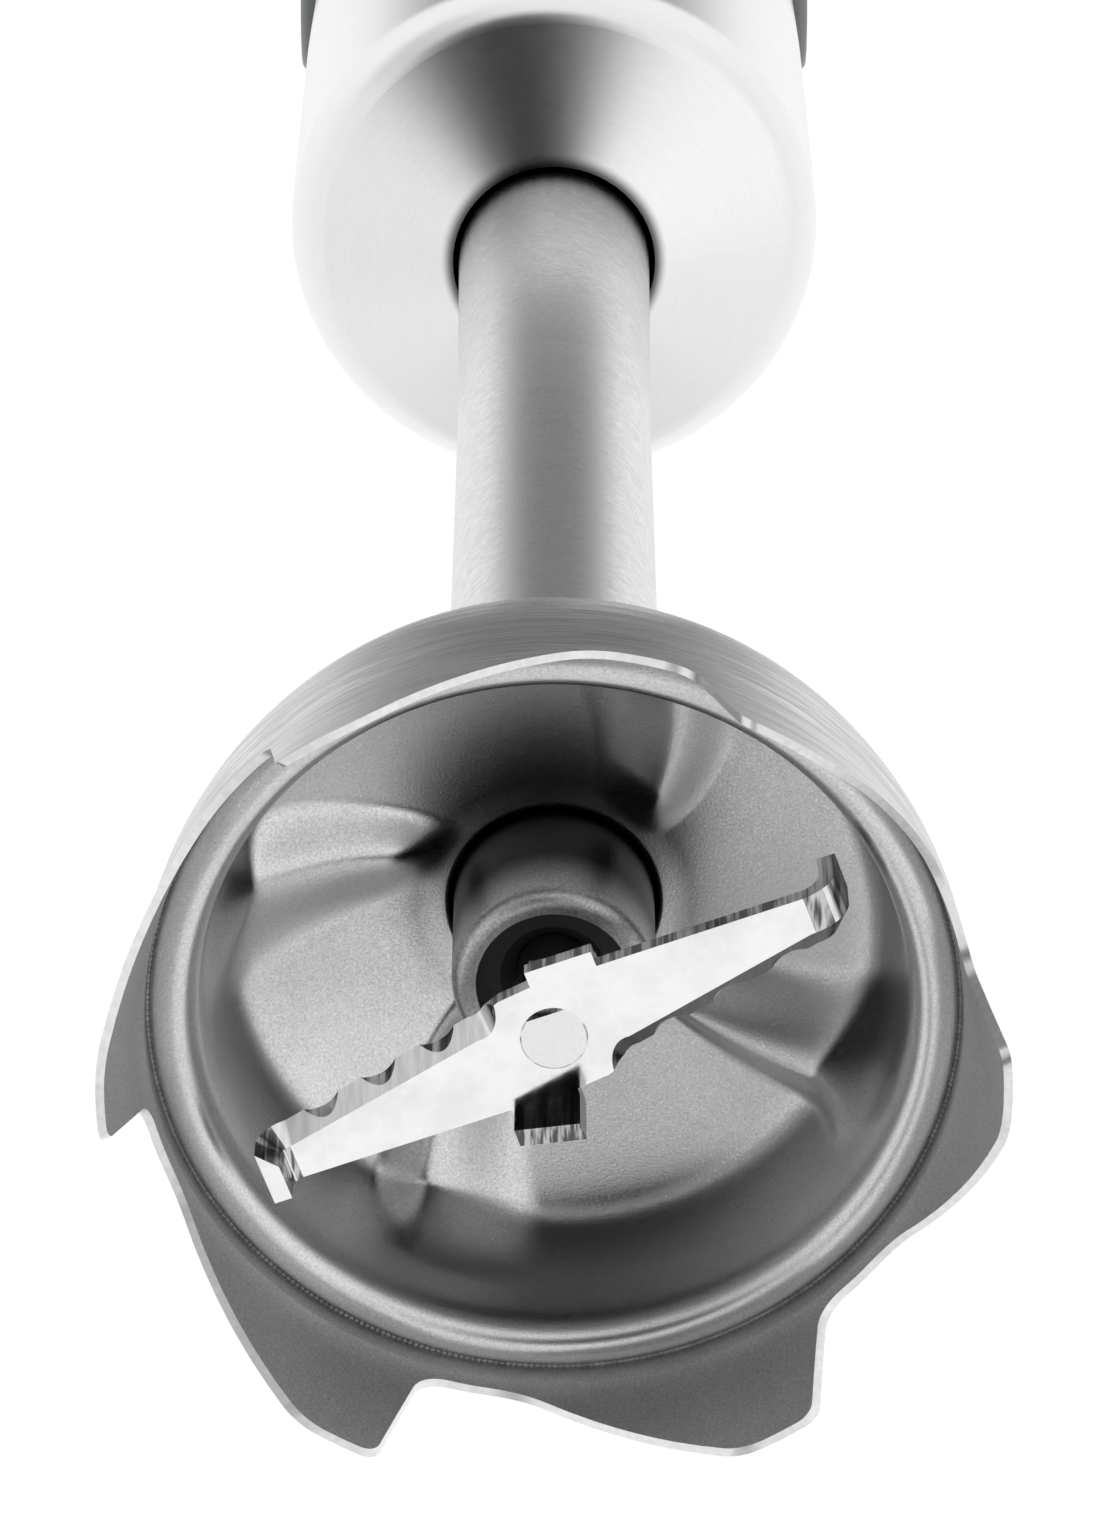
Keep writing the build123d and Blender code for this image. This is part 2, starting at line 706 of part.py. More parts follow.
with BuildPart() as motor_bolts:
    for side in (-1, 1):
        with BuildSketch(Plane.XY.offset(BRACKET_Z[0])):
            with Locations((0, side * BOLT_Y)):
                Circle(BOLT_R)
        extrude(amount=TOP_BRACKET_Z[1] - BRACKET_Z[0])
        with BuildSketch(Plane.XY.offset(TOP_BRACKET_Z[1])):
            with Locations((0, side * BOLT_Y)):
                Circle(2 * BOLT_R)
        extrude(amount=2.0)
save(motor_bolts, "motor_bolts")

with BuildPart() as chassis_screws:
    with BuildSketch(Plane.XY.offset(FLANGE_Z[0] - 1.6)):
        with Locations(*posts):
            Circle(2 * SCREW_R)
    extrude(amount=1.6)
    with BuildSketch(Plane.XY.offset(FLANGE_Z[0])):
        with Locations(*posts):
            Circle(SCREW_R)
    extrude(amount=14)
save(chassis_screws, "chassis_screws")

BRUSH_W = 5.0
HOLDER_WALL = 0.5
COMMUTATOR_R = 6.5
with BuildPart() as brush_holders:
    for side in (-1, 1):
        with BuildSketch(along_x(side * 8.0)):
            with Locations((0, BRUSH_Z)):
                Rectangle(BRUSH_W + 2 * HOLDER_WALL, BRUSH_W + 2 * HOLDER_WALL - 0.8)
        extrude(amount=side * 13.0)
        with BuildSketch(along_x(side * 8.0)):
            with Locations((0, BRUSH_Z)):
                Rectangle(BRUSH_W, BRUSH_W - 0.8)
        extrude(amount=side * 12.4, mode=Mode.SUBTRACT)
save(brush_holders, "brush_holders")

with BuildPart() as carbon_brushes:
    for side in (-1, 1):
        with BuildSketch(along_x(side * (COMMUTATOR_R + 0.3))):
            with Locations((0, BRUSH_Z)):
                Rectangle(BRUSH_W, BRUSH_W - 0.8)
        extrude(amount=side * 6.6)
save(carbon_brushes, "carbon_brushes")
brush_frames = [
    Plane(origin=(side * 13.8, 0, BRUSH_Z), z_dir=(side, 0, 0)) for side in (-1, 1)
]
coil("brush_springs", 1.5, 0.25, 6.2, 6, brush_frames)

# ---- rotor -------------------------------------------------------------------------------
save(
    turned(
        [
            (0, MOTOR_SHAFT_Z[0]),
            (MOTOR_SHAFT_R, MOTOR_SHAFT_Z[0]),
            (MOTOR_SHAFT_R, MOTOR_SHAFT_Z[1]),
            (0, MOTOR_SHAFT_Z[1]),
        ]
    ),
    "motor_shaft",
)

with BuildPart() as armature_core:
    with BuildSketch(Plane.XY.offset(STATOR_Z)):
        Circle(CORE_R)
        Circle(MOTOR_SHAFT_R, mode=Mode.SUBTRACT)
        with PolarLocations(CORE_R - 1.0, SLOTS):
            Rectangle(3.0, 1.4, mode=Mode.SUBTRACT)
        with PolarLocations(CORE_R - 3.2, SLOTS):
            Circle(1.25, mode=Mode.SUBTRACT)
    extrude(amount=STATOR_H)
save(armature_core, "armature_core")

with BuildPart() as armature_windings:
    with BuildSketch(Plane.XY.offset(STATOR_Z)):
        with PolarLocations(CORE_R - 3.2, SLOTS):
            Circle(1.2)
    extrude(amount=STATOR_H)
    for foot in (STATOR_Z - 5.0, STATOR_TOP_Z):
        with BuildSketch(Plane.XY.offset(foot)):
            Circle(9.4)
            Circle(MOTOR_SHAFT_R + 1.0, mode=Mode.SUBTRACT)
        extrude(amount=5.0)
save(armature_windings, "armature_windings")

COMMUTATOR_Z = STATOR_TOP_Z + 6.0
with BuildPart() as commutator:
    with BuildSketch(Plane.XY.offset(COMMUTATOR_Z)):
        Circle(COMMUTATOR_R)
        Circle(MOTOR_SHAFT_R, mode=Mode.SUBTRACT)
        with PolarLocations(COMMUTATOR_R, SLOTS):
            Rectangle(2.0, 0.4, mode=Mode.SUBTRACT)
    extrude(amount=9.0)
save(commutator, "commutator")

FAN_Z = 241.5
with BuildPart() as cooling_fan:
    with BuildSketch(Plane.XY.offset(FAN_Z)):
        Circle(FAN_R)
        Circle(MOTOR_SHAFT_R, mode=Mode.SUBTRACT)
    extrude(amount=1.2)
    with BuildSketch(Plane.XY.offset(FAN_Z)):
        Circle(4.5)
        Circle(MOTOR_SHAFT_R, mode=Mode.SUBTRACT)
    extrude(amount=5.5)
    with BuildSketch(Plane.XY.offset(FAN_Z + 1.2)):
        with PolarLocations(FAN_R - 4.6, FAN_BLADES):
            Rectangle(8.6, 1.0, rotation=18)
    extrude(amount=4.3)
save(cooling_fan, "cooling_fan")

with BuildPart() as drive_socket:
    with BuildSketch(Plane.XY.offset(208.0)):
        Circle(6.7)
        RegularPolygon(DOG_R + GAP, 6, mode=Mode.SUBTRACT)
    extrude(amount=6.0)
    with BuildSketch(Plane.XY.offset(214.0)):
        Circle(6.7)
    extrude(amount=1.0)
    with BuildSketch(Plane.XY.offset(MOTOR_SHAFT_Z[0])):
        Circle(6.7)
        Circle(MOTOR_SHAFT_R, mode=Mode.SUBTRACT)
    extrude(amount=6.0)
save(drive_socket, "drive_socket")

# ---- release levers -------------------------------------------------------------------------
UPPER_ARM_X = (22.6, 25.0)
LOWER_ARM_X = (20.5, 22.5)
HOOK_X = TUBE_TOP_R + 0.6
ARM_PAST_PAD = 4.0
PAD_T = 4.2


def release_lever(side, name):
    """A lever with a push pad through the housing above its pivot and a hook below it."""
    with BuildPart() as lever:
        with BuildSketch(along_y(-ARM_W / 2)):
            with BuildLine():
                outline = [
                    (HOOK_X, LATCH_Z[0] + 0.8),
                    (HOOK_X + 1.6, LATCH_Z[0]),
                    (LOWER_ARM_X[1], LATCH_Z[0]),
                    (LOWER_ARM_X[1], 243.0),
                    (UPPER_ARM_X[1], 246.0),
                    (UPPER_ARM_X[1], RELEASE_Z + ARM_PAST_PAD),
                    (UPPER_ARM_X[0], RELEASE_Z + ARM_PAST_PAD),
                    (UPPER_ARM_X[0], 247.0),
                    (LOWER_ARM_X[0], 244.0),
                    (LOWER_ARM_X[0], LATCH_Z[1]),
                    (HOOK_X, LATCH_Z[1]),
                ]
                Polyline(*[(side * x, z) for x, z in outline], close=True)
            make_face()
            with Locations((side * PIVOT_X, PIVOT_Z)):
                Circle(PIN_R + 1.6)
        extrude(amount=-ARM_W)
        with BuildSketch(along_x(side * UPPER_ARM_X[1])):
            with Locations((0, RELEASE_Z)):
                Circle(RELEASE_R)
        extrude(amount=side * PAD_T)
        pad_face = faces().sort_by(Axis.X)[-1 if side > 0 else 0]
        fillet(pad_face.edges(), 1.0)
        with BuildSketch(along_y(-ARM_W / 2 - 1)):
            with Locations((side * PIVOT_X, PIVOT_Z)):
                Circle(PIN_R + RUNNING)
        extrude(amount=-ARM_W - 2, mode=Mode.SUBTRACT)
    return save(lever, name)


release_lever(1, "release_lever_right")
release_lever(-1, "release_lever_left")

PIN_HALF = EAR_Y + EAR_T
with BuildPart() as latch_pins:
    with BuildSketch(along_y(-PIN_HALF)):
        with Locations((PIVOT_X, PIVOT_Z), (-PIVOT_X, PIVOT_Z)):
            Circle(PIN_R)
    extrude(amount=-2 * PIN_HALF)
save(latch_pins, "latch_pins")

# ---- grip -------------------------------------------------------------------------------------
with BuildPart() as trim_ring:
    add(ring(GRIP_FOOT_R - GRIP_WALL + 0.1, BODY_TOP_R, BODY_TOP_Z, GRIP_FOOT_Z).part)
    fillet(edges().filter_by(GeomType.CIRCLE).sort_by(SortBy.RADIUS)[-2:], 0.6)
save(trim_ring, "trim_ring")

with BuildPart() as grip:
    with BuildSketch(Plane.XZ):
        with BuildLine():
            for inset in (0, GRIP_WALL):
                ThreePointArc(
                    (GRIP_FOOT_R - inset, GRIP_FOOT_Z),
                    (GRIP_WAIST_R - inset, GRIP_WAIST_Z),
                    (GRIP_TOP_R - inset, GRIP_TOP_Z),
                )
            Line((GRIP_FOOT_R, GRIP_FOOT_Z), (GRIP_FOOT_R - GRIP_WALL, GRIP_FOOT_Z))
            Line((GRIP_TOP_R, GRIP_TOP_Z), (GRIP_TOP_R - GRIP_WALL, GRIP_TOP_Z))
        make_face()
    revolve(axis=Axis.Z)

GRIP_SCREW_R = 1.25
screw_spots = [(x, z) for x in (-SCREW_X, SCREW_X) for z in SCREW_Z]
BOSS_END_Y = 17.0
HEAD_Y = 13.5

with BuildPart() as grip_front:
    add(grip.part)
    split(bisect_by=Plane.XZ, keep=Keep.TOP)
    with BuildSketch(along_y(-BOSS_END_Y)):
        with Locations(*screw_spots):
            Circle(POST_R)
    extrude(amount=-BOSS_END_Y)
    with BuildSketch(along_y(-10)):
        with Locations(*screw_spots):
            Circle(GRIP_SCREW_R)
    extrude(amount=-10, mode=Mode.SUBTRACT)
    with BuildSketch(along_y(-10)):
        with Locations((0, ON_Z), (0, TURBO_Z)):
            Circle(BUTTON_R + GAP)
    extrude(amount=30, mode=Mode.SUBTRACT)
save(grip_front, "grip_front")

with BuildPart() as grip_back:
    add(grip.part)
    split(bisect_by=Plane.XZ, keep=Keep.BOTTOM)
    with BuildSketch(along_y(0)):
        with Locations(*screw_spots):
            Circle(POST_R)
    extrude(amount=-BOSS_END_Y)
    with BuildSketch(along_y(0)):
        with Locations(*screw_spots):
            Circle(GRIP_SCREW_R + 0.3)
    extrude(amount=-BOSS_END_Y - 5, mode=Mode.SUBTRACT)
    with BuildSketch(along_y(HEAD_Y)):
        with Locations(*screw_spots):
            Circle(2.5)
    extrude(amount=-15, mode=Mode.SUBTRACT)
save(grip_back, "grip_back")

with BuildPart() as grip_screws:
    with BuildSketch(along_y(-9)):
        with Locations(*screw_spots):
            Circle(GRIP_SCREW_R)
    extrude(amount=-9 - HEAD_Y)
    with BuildSketch(along_y(HEAD_Y)):
        with Locations(*screw_spots):
            Circle(2.3)
    extrude(amount=-1.8)
    with BuildSketch(along_y(HEAD_Y + 0.8)):
        with Locations(*screw_spots):
            Rectangle(2.8, 0.6)
            Rectangle(0.6, 2.8)
    extrude(amount=-2, mode=Mode.SUBTRACT)
save(grip_screws, "grip_screws")

CAP_SHOULDER_Z = 375.0
with BuildPart() as top_cap:
    with BuildSketch(Plane.XZ):
        with BuildLine():
            for inset in (0, CAP_T):
                TangentArc(
                    (GRIP_TOP_R - inset, CAP_SHOULDER_Z),
                    (CAP_FLAT_R - inset, CAP_TOP_Z - inset),
                    tangent=(0, 1),
                )
                Line((CAP_FLAT_R - inset, CAP_TOP_Z - inset), (0, CAP_TOP_Z - inset))
                Line((GRIP_TOP_R - inset, CAP_SHOULDER_Z), (GRIP_TOP_R - inset, GRIP_TOP_Z))
            Line((GRIP_TOP_R, GRIP_TOP_Z), (GRIP_TOP_R - CAP_T, GRIP_TOP_Z))
            Line((0, CAP_TOP_Z), (0, CAP_TOP_Z - CAP_T))
        make_face()
    revolve(axis=Axis.Z)
    with BuildSketch(Plane.XY.offset(CAP_TOP_Z - CAP_T - 1)):
        with Locations((0, DIAL_Y)):
            Circle(DIAL_STEM_R + 0.7)
        with Locations((0, CORD_Y)):
            Circle(5.5)
    extrude(amount=CAP_T + 2, mode=Mode.SUBTRACT)
save(top_cap, "top_cap")

save(
    turned(
        [
            (CORD_HOLE_R, CAP_TOP_Z - CAP_T - 2.0),
            (6.6, CAP_TOP_Z - CAP_T - 2.0),
            (6.6, CAP_TOP_Z - CAP_T),
            (5.5, CAP_TOP_Z - CAP_T),
            (5.5, CAP_TOP_Z + 1.0),
            (4.9, GLAND_TOP_Z),
            (CORD_HOLE_R, GLAND_TOP_Z),
        ],
        centre=(0, CORD_Y),
    ),
    "cord_gland",
)

# ---- controls and electronics -------------------------------------------------------------------
DIAL_FOOT_Z = CAP_TOP_Z + 0.4
DIAL_TOP_Z = DIAL_FOOT_Z + 5.6
POT_R = 7.0
POT_Z = 364.0
with BuildPart() as speed_dial:
    with BuildSketch(Plane.XY.offset(DIAL_FOOT_Z)):
        with Locations((0, DIAL_Y)):
            Circle(DIAL_R)
        with Locations((0, DIAL_Y)):
            with PolarLocations(DIAL_R + 0.2, 30):
                Circle(0.55, mode=Mode.SUBTRACT)
    extrude(amount=DIAL_TOP_Z - DIAL_FOOT_Z)
    with BuildSketch(Plane.XY.offset(DIAL_TOP_Z - 0.6)):
        with Locations((0, DIAL_Y - DIAL_R * 0.62)):
            Rectangle(1.2, 4.4)
    extrude(amount=1.0, mode=Mode.SUBTRACT)
    with BuildSketch(Plane.XY.offset(POT_Z + 2.6)):
        with Locations((0, DIAL_Y)):
            Circle(DIAL_STEM_R)
    extrude(amount=DIAL_FOOT_Z - POT_Z - 2.6)
save(speed_dial, "speed_dial")

save(
    turned(
        [
            (0, POT_Z),
            (POT_R, POT_Z),
            (POT_R, POT_Z + 10.0),
            (4.6, POT_Z + 10.0),
            (4.6, CAP_TOP_Z - CAP_T),
            (DIAL_STEM_R + 0.08, CAP_TOP_Z - CAP_T),
            (DIAL_STEM_R + 0.08, POT_Z + 2.0),
            (0, POT_Z + 2.0),
        ],
        centre=(0, DIAL_Y),
    ),
    "speed_potentiometer",
)

FLANGE_Y = -20.4
STEM_TIP_Y = -15.2


def button(z, name):
    """A round push button with a retaining flange behind the grip and a stem to its switch."""
    with BuildPart() as piece:
        for radius, front, back in (
            (BUTTON_R, BUTTON_FACE_Y, FLANGE_Y),
            (BUTTON_R + 1.2, FLANGE_Y, FLANGE_Y + 1.0),
            (2.5, FLANGE_Y + 1.0, STEM_TIP_Y),
        ):
            with BuildSketch(along_y(front)):
                with Locations((0, z)):
                    Circle(radius)
            extrude(amount=front - back)
        fillet(faces().sort_by(Axis.Y)[0].edges(), 1.0)
    return save(piece, name)


button(ON_Z, "on_button")
button(TURBO_Z, "turbo_button")

BOARD_Y = -2.0
BOARD_T = 1.6
SWITCH_Y = -12.0
with BuildPart() as control_board:
    with BuildSketch(along_y(BOARD_Y)):
        with Locations((0, 334.0)):
            Rectangle(27.0, 50.0)
        with Locations((0, 313.0)):
            Circle(1.5, mode=Mode.SUBTRACT)
    extrude(amount=-BOARD_T)
save(control_board, "control_board")


def microswitch(z, name):
    """A microswitch on the board, with its plunger facing the button."""
    with BuildPart() as piece:
        with BuildSketch(along_y(SWITCH_Y)):
            with Locations((0, z)):
                Rectangle(12.0, 9.0)
        extrude(amount=SWITCH_Y - BOARD_Y)
        with BuildSketch(along_y(SWITCH_Y - 0.9)):
            with Locations((0, z)):
                Circle(1.4)
        extrude(amount=-0.9)
    return save(piece, name)


microswitch(ON_Z, "on_switch")
microswitch(TURBO_Z, "turbo_switch")

with BuildPart() as interference_capacitor:
    with BuildSketch(along_y(BOARD_Y + BOARD_T)):
        with Locations((0, 340.0)):
            RectangleRounded(17.0, 12.0, 1.5)
    extrude(amount=-8.0)
save(interference_capacitor, "interference_capacitor")
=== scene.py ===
"""Studio scene for the immersion blender, seen from below the bell. Metres, in the CAD frame."""

import json
import math

import bpy
import numpy as np
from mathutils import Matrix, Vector


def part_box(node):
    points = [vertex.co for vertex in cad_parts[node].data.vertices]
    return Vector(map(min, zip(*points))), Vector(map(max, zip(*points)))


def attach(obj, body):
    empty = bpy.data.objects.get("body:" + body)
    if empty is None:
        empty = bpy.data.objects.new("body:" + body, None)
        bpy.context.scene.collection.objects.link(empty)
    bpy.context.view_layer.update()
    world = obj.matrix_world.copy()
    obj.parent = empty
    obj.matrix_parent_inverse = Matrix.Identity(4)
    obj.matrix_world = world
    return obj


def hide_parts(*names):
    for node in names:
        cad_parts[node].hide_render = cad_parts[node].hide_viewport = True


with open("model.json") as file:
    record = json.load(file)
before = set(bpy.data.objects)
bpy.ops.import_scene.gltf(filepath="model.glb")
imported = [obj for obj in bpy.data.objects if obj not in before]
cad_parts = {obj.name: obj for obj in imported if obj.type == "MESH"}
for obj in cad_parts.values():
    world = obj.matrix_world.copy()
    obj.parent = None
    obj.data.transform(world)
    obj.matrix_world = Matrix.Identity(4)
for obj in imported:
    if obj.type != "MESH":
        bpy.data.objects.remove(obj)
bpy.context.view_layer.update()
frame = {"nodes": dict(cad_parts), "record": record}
nodes = frame["nodes"]
MM = 0.001

# ---- camera: below the bell, in front of it, looking up along the leg --------------------
AIM = Vector((0.0, 0.0, 0.0625))
DISTANCE = 0.5734
BELOW = math.radians(64.97)
LENS_MM = 154.27
SENSOR_MM = 36.0
CLIP_NEAR = 0.01
CLIP_FAR = 50.0

view_line = Vector((0.0, math.cos(BELOW), math.sin(BELOW)))
camera_data = bpy.data.cameras.new("camera")
camera_data.sensor_fit = "AUTO"
camera_data.sensor_width = SENSOR_MM
camera_data.lens = LENS_MM
camera_data.clip_start = CLIP_NEAR
camera_data.clip_end = CLIP_FAR
camera = bpy.data.objects.new("camera", camera_data)
bpy.context.scene.collection.objects.link(camera)
camera.location = AIM - view_line * DISTANCE
camera.rotation_euler = (math.pi / 2 + BELOW, 0.0, 0.0)
bpy.context.scene.camera = camera
bpy.context.scene.view_settings.view_transform = "Standard"

# ---- shader kit -------------------------------------------------------------------------------
NEAREST_AXIS = 0.01 * MM  # keeps divisions by the distance from the axis defined on the axis


class Shader:
    """A new node material with a Principled shader, and short calls that add nodes to it."""

    def __init__(self, name):
        self.material = bpy.data.materials.new(name)
        self.material.use_nodes = True
        self.tree = self.material.node_tree
        self.surface = self.tree.nodes["Principled BSDF"]

    def add(self, kind, **settings):
        """Adds a node; settings are its properties."""
        node = self.tree.nodes.new(kind)
        for key, value in settings.items():
            setattr(node, key, value)
        return node

    def feed(self, socket, value):
        """Links an output socket into an input, or sets the input to a plain value."""
        if isinstance(value, bpy.types.NodeSocket):
            self.tree.links.new(value, socket)
        else:
            socket.default_value = value

    def math(self, operation, first, second=0.0):
        """One operation on one or two numbers."""
        node = self.add("ShaderNodeMath", operation=operation)
        for socket, value in zip(node.inputs, (first, second)):
            self.feed(socket, value)
        return node.outputs[0]

    def set(self, **values):
        """Sets Principled inputs: base_color becomes Base Color, and so on."""
        for key, value in values.items():
            self.feed(self.surface.inputs[key.replace("_", " ").title()], value)

    def ramp(self, value, stops):
        """A colour ramp with (position, grey or colour) stops."""
        node = self.add("ShaderNodeValToRGB")
        while len(node.color_ramp.elements) < len(stops):
            node.color_ramp.elements.new(0.5)
        for element, (position, colour) in zip(node.color_ramp.elements, stops):
            element.position = position
            grey = isinstance(colour, float)
            element.color = (colour, colour, colour, 1.0) if grey else (*colour, 1.0)
        self.feed(node.inputs[0], value)
        return node.outputs[0]

    def span(self, value, low, high, start=0.0, end=1.0):
        """A smooth step that goes from start to end as value goes from low to high."""
        node = self.add("ShaderNodeMapRange", interpolation_type="SMOOTHSTEP")
        for socket, number in zip(node.inputs, (value, low, high, start, end)):
            self.feed(socket, number)
        return node.outputs[0]

    def mix(self, share, first, second):
        """The numbers first and second mixed; share 1 gives second."""
        node = self.add("ShaderNodeMix", data_type="FLOAT")
        for socket, value in zip((node.inputs[0], *node.inputs[2:4]), (share, first, second)):
            self.feed(socket, value)
        return node.outputs[0]

    def grey(self, value):
        """A grey colour of that strength."""
        node = self.add("ShaderNodeCombineColor")
        for socket in node.inputs:
            self.feed(socket, value)
        return node.outputs[0]

    def noise(self, vector, scale, detail, roughness=0.5):
        """Noise round 0.5, with scale cells for each unit of the vector."""
        node = self.add("ShaderNodeTexNoise")
        node.inputs["Scale"].default_value = scale
        node.inputs["Detail"].default_value = detail
        node.inputs["Roughness"].default_value = roughness
        self.feed(node.inputs["Vector"], vector)
        return node.outputs["Fac"]

    def place(self, stretch=(1.0, 1.0, 1.0)):
        """Object coordinates, in metres, stretched along the axes."""
        node = self.add("ShaderNodeMapping")
        self.feed(node.inputs[0], self.add("ShaderNodeTexCoord").outputs["Object"])
        node.inputs["Scale"].default_value = stretch
        return node.outputs[0]

    def parts(self, vector):
        """The x, y and z of a vector."""
        node = self.add("ShaderNodeSeparateXYZ")
        self.feed(node.inputs[0], vector)
        return node.outputs

    def height(self):
        """The height above the origin, in metres."""
        return self.parts(self.place())[2]

    def facing(self):
        """The x, y and z of the flat face's normal."""
        return self.parts(self.add("ShaderNodeNewGeometry").outputs["True Normal"])

    def distance_from_axis(self, x, y):
        """How far x, y is from the vertical axis."""
        squares = self.math("ADD", self.math("MULTIPLY", x, x), self.math("MULTIPLY", y, y))
        return self.math("MAXIMUM", self.math("SQRT", squares), NEAREST_AXIS)

    def turned_place(self, around, across, lean):
        """Coordinates for marks that run round the vertical axis: cells round it and per metre.

        Across the marks they grow with height plus lean times the distance from the axis.
        """
        x, y, z = self.parts(self.place())
        radius = self.distance_from_axis(x, y)
        join = self.add("ShaderNodeCombineXYZ")
        turn = around / (2 * math.pi)
        self.feed(join.inputs[0], self.math("MULTIPLY", self.math("DIVIDE", x, radius), turn))
        self.feed(join.inputs[1], self.math("MULTIPLY", self.math("DIVIDE", y, radius), turn))
        leaned = self.math("ADD", z, self.math("MULTIPLY", radius, lean))
        self.feed(join.inputs[2], self.math("MULTIPLY", leaned, across))
        return join.outputs[0]

    def outward_share(self):
        """How far the flat face's normal points away from the vertical axis, -1 to 1."""
        x, y, _ = self.parts(self.place())
        radius = self.distance_from_axis(x, y)
        normal = self.facing()
        along_x = self.math("MULTIPLY", self.math("DIVIDE", x, radius), normal[0])
        along_y = self.math("MULTIPLY", self.math("DIVIDE", y, radius), normal[1])
        return self.math("ADD", along_x, along_y)

    def bump(self, height, distance, strength):
        """Bump of that depth in metres, where height runs from 0 to 1."""
        node = self.add("ShaderNodeBump")
        self.feed(node.inputs["Strength"], strength)
        node.inputs["Distance"].default_value = distance
        self.feed(node.inputs["Height"], height)
        self.feed(self.surface.inputs["Normal"], node.outputs[0])

    def round_tangent(self):
        """Stretches highlights across marks that run round the vertical axis."""
        tangent = self.add("ShaderNodeTangent", direction_type="RADIAL", axis="Z")
        self.feed(self.surface.inputs["Tangent"], tangent.outputs[0])


# ---- materials --------------------------------------------------------------------------------
MOST_NOISE = (0.3, 0.7)  # nearly all noise lies between these
ROUGH_SPREAD = 0.06  # rougher in the pits and smoother between them, in grained materials
FINE_SHARE = 0.8  # of a grain's fine pattern, beside its broad one


def layered(s, fine, broad):
    """A fine pattern with a little of a broad one in it."""
    fine_part = s.math("MULTIPLY", fine, FINE_SHARE)
    return s.math("ADD", fine_part, s.math("MULTIPLY", broad, 1.0 - FINE_SHARE))


BROAD_ROUND = 0.4  # broad marks have this share of the fine ones' cells, round and across
BROAD_ACROSS = 0.16


def steel_grain(s, around, across, lean=-1.0):
    """Fine and broad lines round the axis."""
    fine = s.noise(s.turned_place(around, across, lean), 1.0, detail=3.0, roughness=0.65)
    broad_place = s.turned_place(around * BROAD_ROUND, across * BROAD_ACROSS, lean)
    return layered(s, fine, s.noise(broad_place, 1.0, detail=2.0))


CLOUDS = 110.0  # cells per metre of the faint clouds in blasted steel
BLAST_GRAIN = 0.2 * MM
BLAST_DEPTH = 0.04 * MM
BLAST_SPREAD = 0.12  # lighter and darker than the mean


def blast_grain(s, size):
    """The pitted grain of bead-blasted steel with faint clouds; size is the grain in metres."""
    pits = s.noise(s.place(), 1.0 / size, detail=2.0, roughness=0.75)
    return layered(s, pits, s.noise(s.place(), CLOUDS, detail=4.0))


BRUSH_NOISE = (0.35, 0.65)  # narrower, for clearer lines
BRUSH_ROUND = 70.0  # brush marks: cells round the axis, and cells per metre across them
BRUSH_ACROSS = 5000.0
BRUSH_DEPTH = 0.1 * MM  # at full contrast


def brushed_steel(name, grey, roughness, contrast, lean=-1.0, shade=None):
    """Satin stainless steel with fine lines round the axis.

    shade(s) gives a number from 0 to 1, painted shade that darkens the steel where it is near a
    joint.
    """
    s = Shader(name)
    grain = steel_grain(s, BRUSH_ROUND, BRUSH_ACROSS, lean)
    tone = s.span(grain, *BRUSH_NOISE, grey - contrast, grey + contrast)
    if shade:
        tone = s.math("MULTIPLY", tone, shade(s))
    s.set(
        base_color=s.grey(tone),
        metallic=1.0,
        roughness=s.span(grain, *BRUSH_NOISE, roughness + contrast, roughness - contrast),
        anisotropic=0.5,
    )
    s.round_tangent()
    s.bump(grain, contrast * BRUSH_DEPTH, strength=0.5)
    return s.material


BELL_ROUND = 34.0  # the bell's own brush marks, in the same cells
BELL_ACROSS = 6500.0
BELL_DEPTH = 0.015 * MM
BELL_NOISE = (0.36, 0.64)
BELL_OUTSIDE_GREY = (0.42, 0.78)
BELL_INSIDE_GREY = (0.5, 0.75)
BELL_OUTSIDE_ROUGH = (0.38, 0.24)
BELL_INSIDE_ROUGH = 0.5
BELL_INSIDE = (-0.35, -0.45)  # outward share where the outside's finish gives way to the inside's
EDGE_SHARE = 0.4  # the cut edge's faces point less than this out or in
EDGE_TOP = 12.5 * MM  # and lie below this height
EDGE_GREY = (0.78, 0.88)
EDGE_ROUGH = 0.3
EDGE_GRAIN = 1500.0  # cells per metre


def bell_steel(name):
    """The bell: brushed outside, blasted inside, with a bright sheared edge."""
    s = Shader(name)
    share = s.outward_share()
    inside = s.span(share, *BELL_INSIDE)
    level = s.math("LESS_THAN", s.math("ABSOLUTE", share), EDGE_SHARE)
    edge = s.math("MULTIPLY", level, s.math("LESS_THAN", s.height(), EDGE_TOP))
    grain = steel_grain(s, BELL_ROUND, BELL_ACROSS)
    pits = blast_grain(s, BLAST_GRAIN)
    outside_grey = s.span(grain, *BELL_NOISE, *BELL_OUTSIDE_GREY)
    inside_grey = s.span(pits, *MOST_NOISE, *BELL_INSIDE_GREY)
    edge_grain = s.noise(s.place(), EDGE_GRAIN, detail=3.0)
    edge_grey = s.span(edge_grain, *MOST_NOISE, *EDGE_GREY)
    grey = s.mix(edge, s.mix(inside, outside_grey, inside_grey), edge_grey)
    outside_rough = s.span(grain, *MOST_NOISE, *BELL_OUTSIDE_ROUGH)
    rough = s.mix(edge, s.mix(inside, outside_rough, BELL_INSIDE_ROUGH), EDGE_ROUGH)
    s.set(base_color=s.grey(grey), metallic=1.0, roughness=rough)
    s.bump(s.mix(inside, grain, pits), BELL_DEPTH, strength=0.5)
    return s.material


